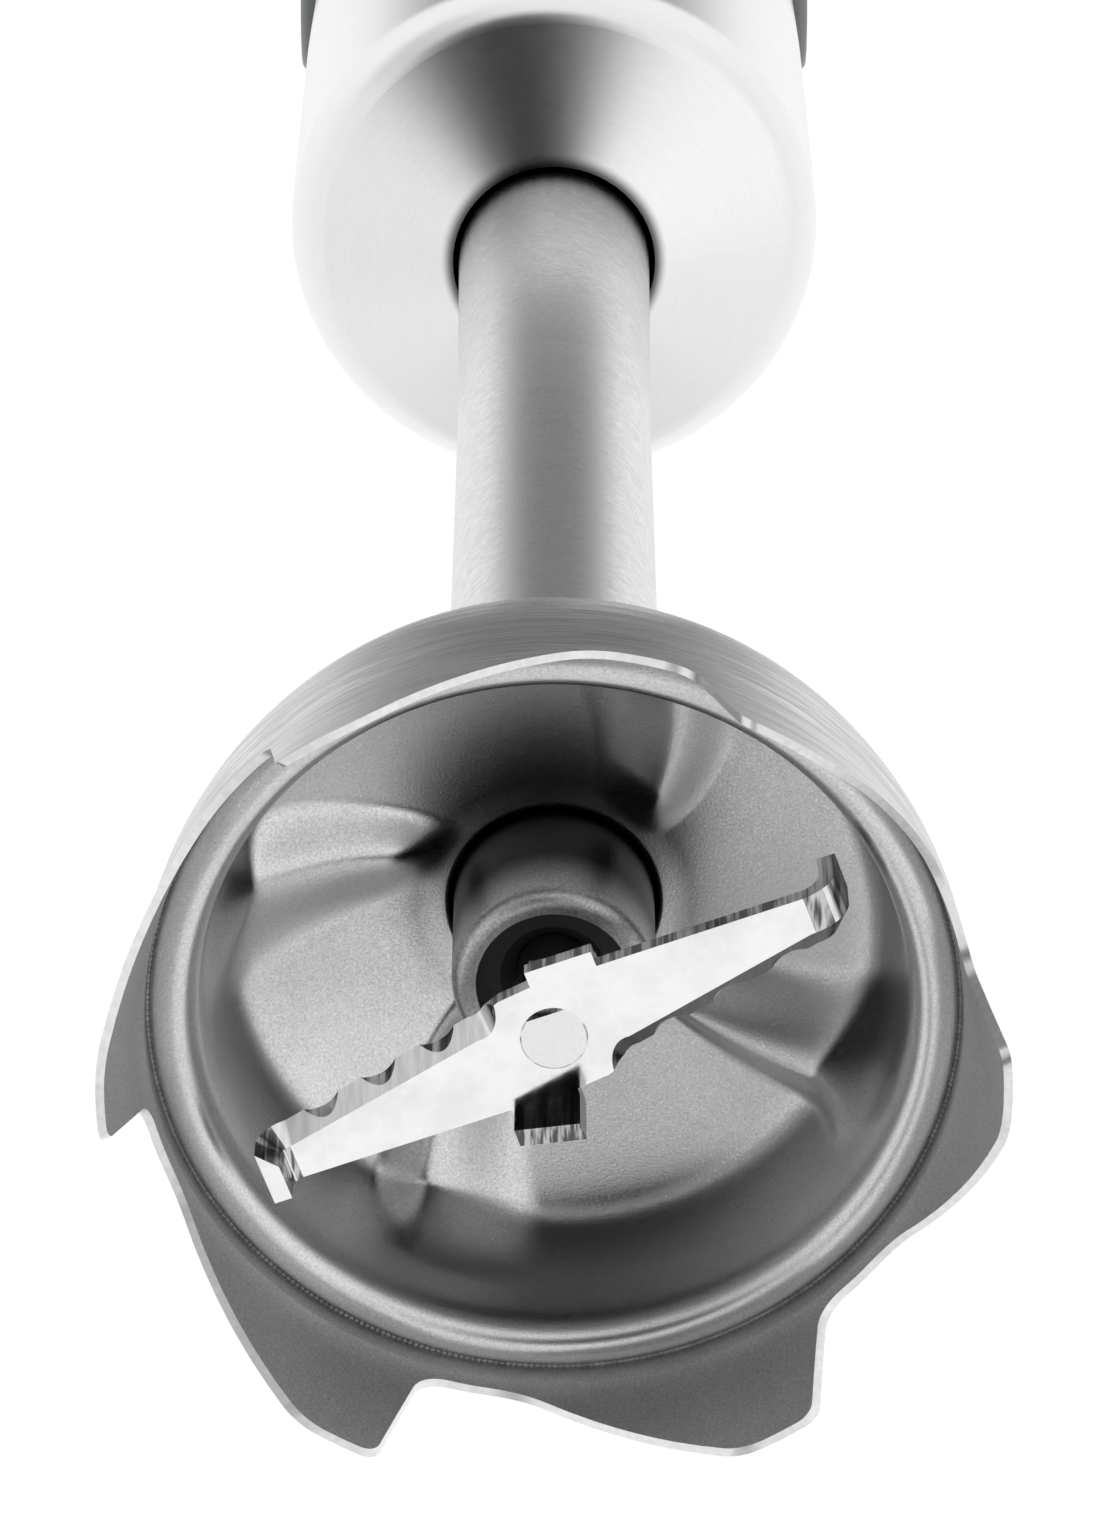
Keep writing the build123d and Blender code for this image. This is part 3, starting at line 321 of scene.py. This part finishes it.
def blasted_steel(name, grey, roughness):
    """Bead-blasted steel: an even fine grain with faint clouds."""
    s = Shader(name)
    pits = blast_grain(s, BLAST_GRAIN)
    dark, light = MOST_NOISE
    s.set(
        base_color=s.ramp(pits, [(dark, grey - BLAST_SPREAD), (light, grey + BLAST_SPREAD)]),
        metallic=1.0,
        roughness=s.span(pits, *MOST_NOISE, roughness + ROUGH_SPREAD, roughness - ROUGH_SPREAD),
    )
    s.bump(pits, BLAST_DEPTH, strength=0.6)
    return s.material


BOSS_GRAIN = 0.25 * MM
BOSS_SHADED_Z = 28.0 * MM  # painted shade makes the boss dark above this
BOSS_UNSHADED_Z = 20.0 * MM  # and leaves it unshaded below this
BOSS_GREY = (0.01, 0.6)  # from painted shade to unshaded
BOSS_PITS = (0.7, 1.2)  # times that, in the pits and between them
BOSS_ROUGH = 0.42


def boss_steel(name):
    """Blasted steel with painted shade near its root, under the bell's ceiling."""
    s = Shader(name)
    pits = blast_grain(s, BOSS_GRAIN)
    # painted shade: the boss is darker towards its root
    unshaded = s.span(s.height(), BOSS_SHADED_Z, BOSS_UNSHADED_Z, *BOSS_GREY)
    grey = s.math("MULTIPLY", unshaded, s.span(pits, *MOST_NOISE, *BOSS_PITS))
    s.set(base_color=s.grey(grey), metallic=1.0, roughness=BOSS_ROUGH)
    s.bump(pits, BLAST_DEPTH, strength=0.6)
    return s.material


BLADE_FLAT = (0.985, 0.995)  # upright share of a face's normal: the blade's flats
BEVEL_FROM = (0.6, 0.66)  # and its ground bevels, from here
BEVEL_TO = (0.8, 0.77)  # to here
STRIATIONS = (1900.0, 300.0, 60.0)  # cells per metre along x, y and z
BLADE_MARKS = 260.0  # cells per metre of the wear on the flats
BLADE_DEPTH = 0.006 * MM
FLAT_NOISE = (0.3, 0.75)
FLAT_GREY = (0.93, 0.85)
FLAT_ROUGH_NOISE = (0.35, 0.75)
FLAT_ROUGH = (0.1, 0.2)
BEVEL_GREY = (0.7, 0.85)
SHEARED_NOISE = (0.4, 0.6)
SHEARED_GREY = (0.1, 0.55)
SIDE_ROUGH = 0.16


def blade_steel(name):
    """The blade and its rivet: polished flats, ground bevels and striated sheared sides."""
    s = Shader(name)
    upright = s.math("ABSOLUTE", s.facing()[2])
    flat = s.span(upright, *BLADE_FLAT)
    bevel = s.math("MULTIPLY", s.span(upright, *BEVEL_FROM), s.span(upright, *BEVEL_TO))
    marks = s.noise(s.place(), BLADE_MARKS, detail=6.0, roughness=0.65)
    lines = s.noise(s.place(STRIATIONS), 1.0, detail=2.0, roughness=0.6)
    flat_grey = s.span(marks, *FLAT_NOISE, *FLAT_GREY)
    bevel_grey = s.span(lines, *MOST_NOISE, *BEVEL_GREY)
    sheared_grey = s.span(lines, *SHEARED_NOISE, *SHEARED_GREY)
    grey = s.mix(flat, s.mix(bevel, sheared_grey, bevel_grey), flat_grey)
    rough = s.mix(flat, SIDE_ROUGH, s.span(marks, *FLAT_ROUGH_NOISE, *FLAT_ROUGH))
    s.set(base_color=s.grey(grey), metallic=1.0, roughness=rough)
    s.bump(s.mix(flat, lines, marks), BLADE_DEPTH, strength=0.3)
    return s.material


MOULD_GRAIN = 0.4 * MM
MOULD_CLOUDS = 60.0  # cells per metre
MOULD_DEPTH = 0.03 * MM
MOULD_DARKER = 0.85


def moulded(name, colour, roughness):
    """Moulded plastic or rubber with a fine spark-eroded texture."""
    s = Shader(name)
    texture = s.noise(s.place(), 1.0 / MOULD_GRAIN, detail=2.0)
    soft = s.noise(s.place(), MOULD_CLOUDS, detail=3.0)
    darker = tuple(c * MOULD_DARKER for c in colour)
    dark, light = MOST_NOISE
    s.set(
        base_color=s.ramp(soft, [(dark, darker), (light, colour)]),
        roughness=s.span(
            texture, *MOST_NOISE, roughness + ROUGH_SPREAD, roughness - ROUGH_SPREAD
        ),
    )
    s.bump(texture, MOULD_DEPTH, strength=0.5)
    return s.material


TARNISH = 700.0  # cells per metre
TARNISH_NOISE = (0.3, 0.65)
TARNISH_DEPTH = 0.03 * MM
TARNISH_DARKER = 0.7
TARNISH_ROUGHER = 0.15


def metal(name, colour, roughness):
    """Plain coloured metal with slight tarnish."""
    s = Shader(name)
    tarnish = s.noise(s.place(), TARNISH, detail=4.0, roughness=0.6)
    darker = tuple(c * TARNISH_DARKER for c in colour)
    s.set(
        base_color=s.ramp(tarnish, [(TARNISH_NOISE[0], darker), (TARNISH_NOISE[1], colour)]),
        metallic=1.0,
        roughness=s.span(tarnish, *MOST_NOISE, roughness + TARNISH_ROUGHER, roughness),
    )
    s.bump(tarnish, TARNISH_DEPTH, strength=0.3)
    return s.material


JOINT_R = (10.6 * MM, 12.0 * MM)  # painted shade darkens the housing inwards between these
JOINT_Z = (158.0 * MM, 187.0 * MM)  # and the tube upwards between these
HOUSING_DARKEST = 0.12
TUBE_DARKEST = 0.45


def housing_shade(s):
    """Painted shade on the housing close round the tube."""
    x, y, _ = s.parts(s.place())
    return s.span(s.distance_from_axis(x, y), *JOINT_R, HOUSING_DARKEST, 1.0)


def tube_shade(s):
    """Painted shade on the tube where it nears the housing."""
    return s.span(s.height(), *JOINT_Z, 1.0, TUBE_DARKEST)


MATERIALS = {
    "brushed_steel": brushed_steel("brushed_steel", 0.72, 0.3, 0.06),
    "blasted_steel": blasted_steel("blasted_steel", 0.68, 0.33),
    "polished_steel": brushed_steel("polished_steel", 0.82, 0.15, 0.02),
    "spring_steel": metal("spring_steel", (0.5, 0.5, 0.5), 0.3),
    "zinc_steel": metal("zinc_steel", (0.62, 0.62, 0.6), 0.3),
    "sintered_bronze": metal("sintered_bronze", (0.55, 0.36, 0.18), 0.45),
    "brass_sheet": metal("brass_sheet", (0.75, 0.58, 0.25), 0.3),
    "copper_wire": metal("copper_wire", (0.72, 0.35, 0.16), 0.3),
    "motor_laminations": metal("motor_laminations", (0.28, 0.28, 0.3), 0.45),
    "carbon": moulded("carbon", (0.03, 0.03, 0.03), 0.6),
    "seal_rubber": moulded("seal_rubber", (0.02, 0.02, 0.02), 0.6),
    "white_acetal": moulded("white_acetal", (0.8, 0.8, 0.77), 0.4),
    "dark_plastic": moulded("dark_plastic", (0.04, 0.04, 0.043), 0.45),
    "soft_grip": moulded("soft_grip", (0.045, 0.045, 0.048), 0.62),
    "button_grey": moulded("button_grey", (0.22, 0.225, 0.23), 0.4),
    "circuit_board": moulded("circuit_board", (0.03, 0.16, 0.07), 0.35),
    "capacitor_yellow": moulded("capacitor_yellow", (0.75, 0.55, 0.08), 0.4),
}
BLADE_STEEL = blade_steel("blade_steel")
OWN_MATERIALS = {
    "bell_shell": bell_steel("bell_steel"),
    # the housing and the tube carry painted shade near their joint
    "steel_housing": brushed_steel("housing_steel", 0.84, 0.26, 0.01, 1.0, housing_shade),
    "shaft_tube": brushed_steel("tube_steel", 0.7, 0.32, 0.06, -1.0, tube_shade),
    "bearing_boss": boss_steel("boss_steel"),
    "blade": BLADE_STEEL,
    "blade_hub": BLADE_STEEL,
}
slot_of = {row["node"]: row["material_slot"] for row in frame["record"]["subparts"]}
for name, node in nodes.items():
    material = OWN_MATERIALS.get(name, MATERIALS[slot_of[name]])
    if not node.material_slots:
        node.data.materials.append(material)
    for slot in node.material_slots:
        slot.material = material


# ---- mesh kit ---------------------------------------------------------------------------------
def turned_piece(name, rings, material, body):
    """A closed piece from rings of points: an array (ring, point round, xyz), joined end to end."""
    ring_count, round_count = rings.shape[:2]
    mesh = bpy.data.meshes.new(name)
    here = np.arange(ring_count * round_count).reshape(ring_count, round_count)
    after = np.roll(here, -1, axis=1)
    quads = np.stack([here, after, np.roll(after, -1, axis=0), np.roll(here, -1, axis=0)], axis=-1)
    mesh.from_pydata(rings.reshape(-1, 3).tolist(), [], quads.reshape(-1, 4).tolist())
    mesh.shade_smooth()
    mesh.materials.append(material)
    piece = bpy.data.objects.new(name, mesh)
    bpy.context.scene.collection.objects.link(piece)
    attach(piece, body)
    return piece


def round_points(radius, turn, height):
    """Points at those distances from the axis, angles round it and heights."""
    points = np.broadcast_arrays(radius * np.cos(turn), radius * np.sin(turn), height)
    return np.stack(points, axis=-1)


def rounded(points, times):
    """A line of points with its corners cut again and again into a curve."""
    line = np.array(points, dtype=float)
    for _ in range(times):
        near = line[:-1] * 0.75 + line[1:] * 0.25
        far = line[:-1] * 0.25 + line[1:] * 0.75
        line = np.vstack([line[:1], np.stack([near, far], axis=1).reshape(-1, 2), line[-1:]])
    return line


def resampled(line, count):
    """The same line with evenly spaced points."""
    reach = np.concatenate([[0.0], np.cumsum(np.linalg.norm(np.diff(line, axis=0), axis=1))])
    even = np.linspace(0.0, reach[-1], count)
    return np.stack([np.interp(even, reach, line[:, k]) for k in range(2)], axis=1)


def smooth_step(value, low, high):
    """A smooth step from 0 to 1 as value goes from low to high."""
    share = np.clip((value - low) / (high - low), 0.0, 1.0)
    return share * share * (3.0 - 2.0 * share)


# ---- liner: the bell's pressed ceiling, with four swirled ridges ------------------------------
liner_low, liner_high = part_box("bell_liner")
boss_low, boss_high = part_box("bearing_boss")
LINER_RIM_R = liner_high[0]
BOSS_R = (boss_high[0] - boss_low[0]) / 2
LINER_T = 0.8 * MM
ROOF_Z = liner_high[2] - LINER_T
BEAD_DROP = 0.3 * MM  # the bead's heights count from this far below the CAD liner
BEAD_Z = liner_low[2] - BEAD_DROP
LINER_LINE = [  # distance from the axis and height, from the rim over the bead to the boss
    (LINER_RIM_R, BEAD_Z + 1.8 * MM),
    (LINER_RIM_R - 0.4 * MM, BEAD_Z + 0.8 * MM),
    (LINER_RIM_R - 1.6 * MM, BEAD_Z + 0.2 * MM),
    (LINER_RIM_R - 3.0 * MM, BEAD_Z + 0.2 * MM),
    (LINER_RIM_R - 4.1 * MM, BEAD_Z + 1.9 * MM),
    (LINER_RIM_R - 4.2 * MM, BEAD_Z + 5.5 * MM),
    (LINER_RIM_R - 4.3 * MM, BEAD_Z + 10.5 * MM),
    (LINER_RIM_R - 4.8 * MM, ROOF_Z - 7.8 * MM),
    (LINER_RIM_R - 5.7 * MM, ROOF_Z - 5.6 * MM),
    (LINER_RIM_R - 7.8 * MM, ROOF_Z - 4.3 * MM),
    (BOSS_R + 8.0 * MM, ROOF_Z - 2.0 * MM),
    (BOSS_R + 3.6 * MM, ROOF_Z - 0.8 * MM),
    (BOSS_R + 2.0 * MM, ROOF_Z - 0.3 * MM),
    (BOSS_R, ROOF_Z),
]
CORNER_CUTS = 4
LINER_RINGS = 100
LINER_ROUND = 480
RIDGES = [  # start beside the boss, sweep by its outer end, width of its steep side, degrees
    (37.0, -8.0, 8.0),
    (122.0, -8.0, 10.0),
    (204.0, -15.0, 15.0),
    (306.0, -16.0, 15.0),
]
GENTLE_SIDE = 23.0
RIDGE_H = 2.5 * MM
RIDGE_R = (15.0 * MM, 28.0 * MM)  # the sweep is 0 at the first and whole at the second
SWEEP_LIMITS = (-0.3, 1.2)  # and it goes on this far past both
RIDGE_ROOT_R = (9.5 * MM, 15.5 * MM)  # the ridges rise from the boss between these
RIDGE_END_Z = (20.0 * MM, 29.0 * MM)  # and fade down the wall between these


def ridge_share(turn, radius):
    """How much of a ridge's height there is at each turn, in degrees, and radius."""
    along = (radius - RIDGE_R[0]) / (RIDGE_R[1] - RIDGE_R[0])
    share = 0.0
    for start, sweep, steep in RIDGES:
        from_ridge = turn - start - sweep * np.clip(along, *SWEEP_LIMITS)
        from_ridge = (from_ridge + 180.0) % 360.0 - 180.0
        share += smooth_step(from_ridge, -GENTLE_SIDE, 0.0) - smooth_step(from_ridge, 0.0, steep)
    return np.maximum(share, 0.0)


liner_line = resampled(rounded(LINER_LINE, CORNER_CUTS), LINER_RINGS)
heading = np.gradient(liner_line, axis=0)
heading /= np.linalg.norm(heading, axis=1)[:, None]
line_r, line_z = liner_line[:, :1], liner_line[:, 1:]
inward_r, inward_z = -heading[:, 1:], heading[:, :1]  # towards the room under the bell
turn = np.linspace(0.0, 360.0, LINER_ROUND, endpoint=False)[None, :]
fade = smooth_step(line_r, *RIDGE_ROOT_R) * smooth_step(line_z, *RIDGE_END_Z)
relief = RIDGE_H * ridge_share(turn, line_r) * fade
back_r = np.minimum(line_r - inward_r * LINER_T, LINER_RIM_R)
back_z = line_z - inward_z * LINER_T
under = round_points(line_r + inward_r * relief, np.radians(turn), line_z + inward_z * relief)
back = round_points(back_r, np.radians(turn), back_z)
liner_rings = np.vstack([under, back[::-1]])
liner = turned_piece(
    "pressed_liner", liner_rings, MATERIALS["blasted_steel"], "leg"
)
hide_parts("bell_liner")

# ---- seam: the rippled weld between liner and bell -------------------------------------------
SEAM_R = LINER_RIM_R + 0.02 * MM
SEAM_Z = BEAD_Z + 1.5 * MM
SEAM_WIRE = 0.3 * MM
SEAM_RIPPLES = 420
RIPPLE_SHARE = 0.16  # of the wire's radius
RIPPLE_POINTS = 6
SEAM_SIDES = 10

seam_turn = np.linspace(0.0, 2 * math.pi, SEAM_RIPPLES * RIPPLE_POINTS, endpoint=False)[None, :]
side = np.linspace(0.0, 2 * math.pi, SEAM_SIDES, endpoint=False)[:, None]
wire = SEAM_WIRE * (1.0 + RIPPLE_SHARE * np.cos(SEAM_RIPPLES * seam_turn))
seam_rings = round_points(SEAM_R + wire * np.cos(side), seam_turn, SEAM_Z + wire * np.sin(side))
seam_steel = metal("seam_steel", (0.3, 0.3, 0.3), 0.4)
turned_piece("liner_seam", seam_rings, seam_steel, "leg")

# ---- studio: a white room with soft round panels, for the steel to reflect --------------------
ROOM_WHITE = 1.04
BELOW_WHITE = 1.0
HORIZON = (-0.25, 0.15)  # the room's white changes between these heights
PANELS = [  # direction, half angles of the middle and of the soft edge in degrees, strength
    ((0.66, -0.1, -0.74), 12.0, 34.0, 1.15),  # a light, low on the right
    ((0.0, 0.9, -0.4), 10.0, 36.0, 0.85),  # greys, behind and low on the left
    ((-0.4, 0.38, -0.83), 8.0, 21.0, 0.4),
    ((-0.62, -0.66, -0.4), 8.0, 26.0, 0.7),
    ((-0.17, -0.46, -0.87), 14.0, 30.0, 0.0),  # the black camera stand
    ((0.0, -0.45, 0.89), 8.0, 34.0, 0.2),  # dark panels overhead
    ((0.0, 0.0, 1.0), 5.0, 19.0, 0.25),
]


class Sky(Shader):
    """The same short calls for a world's own nodes."""

    def __init__(self, world):
        self.tree = world.node_tree

    def panel(self, tone, toward, direction, middle_angle, edge_angle, strength):
        """The tone with a round, soft-edged panel in it, centred on a direction."""
        aim = self.add("ShaderNodeVectorMath", operation="DOT_PRODUCT")
        aim.inputs[1].default_value = Vector(direction).normalized()
        self.feed(aim.inputs[0], toward)
        edges = (math.cos(math.radians(edge_angle)), math.cos(math.radians(middle_angle)))
        return self.mix(self.span(aim.outputs["Value"], *edges), tone, strength)


world = bpy.data.worlds.new("studio")
bpy.context.scene.world = world
world.use_nodes = True
sky = Sky(world)
toward = sky.add("ShaderNodeTexCoord").outputs["Generated"]
tone = sky.span(sky.parts(toward)[2], *HORIZON, BELOW_WHITE, ROOM_WHITE)
for panel in PANELS:
    tone = sky.panel(tone, toward, *panel)
background = world.node_tree.nodes["Background"]
sky.feed(background.inputs["Strength"], tone)
background.inputs["Color"].default_value = (1.0, 1.0, 1.0, 1.0)

# ---- floor: pale, and far enough below to leave room for views from under the bell -----------
FLOOR_Z = -2.5
FLOOR_HALF = 9.0
FLOOR_COLOUR = (0.8, 0.8, 0.79, 1.0)

floor_mesh = bpy.data.meshes.new("floor")
corners = [(x * FLOOR_HALF, y * FLOOR_HALF, FLOOR_Z) for x, y in ((-1, -1), (1, -1), (1, 1), (-1, 1))]
floor_mesh.from_pydata(corners, [], [(0, 1, 2, 3)])
floor = bpy.data.objects.new("floor", floor_mesh)
bpy.context.scene.collection.objects.link(floor)
floor_shader = Shader("floor")
floor_shader.set(base_color=FLOOR_COLOUR, roughness=0.8)
floor_mesh.materials.append(floor_shader.material)
floor.visible_glossy = False  # the metal reflects the studio's own light from below
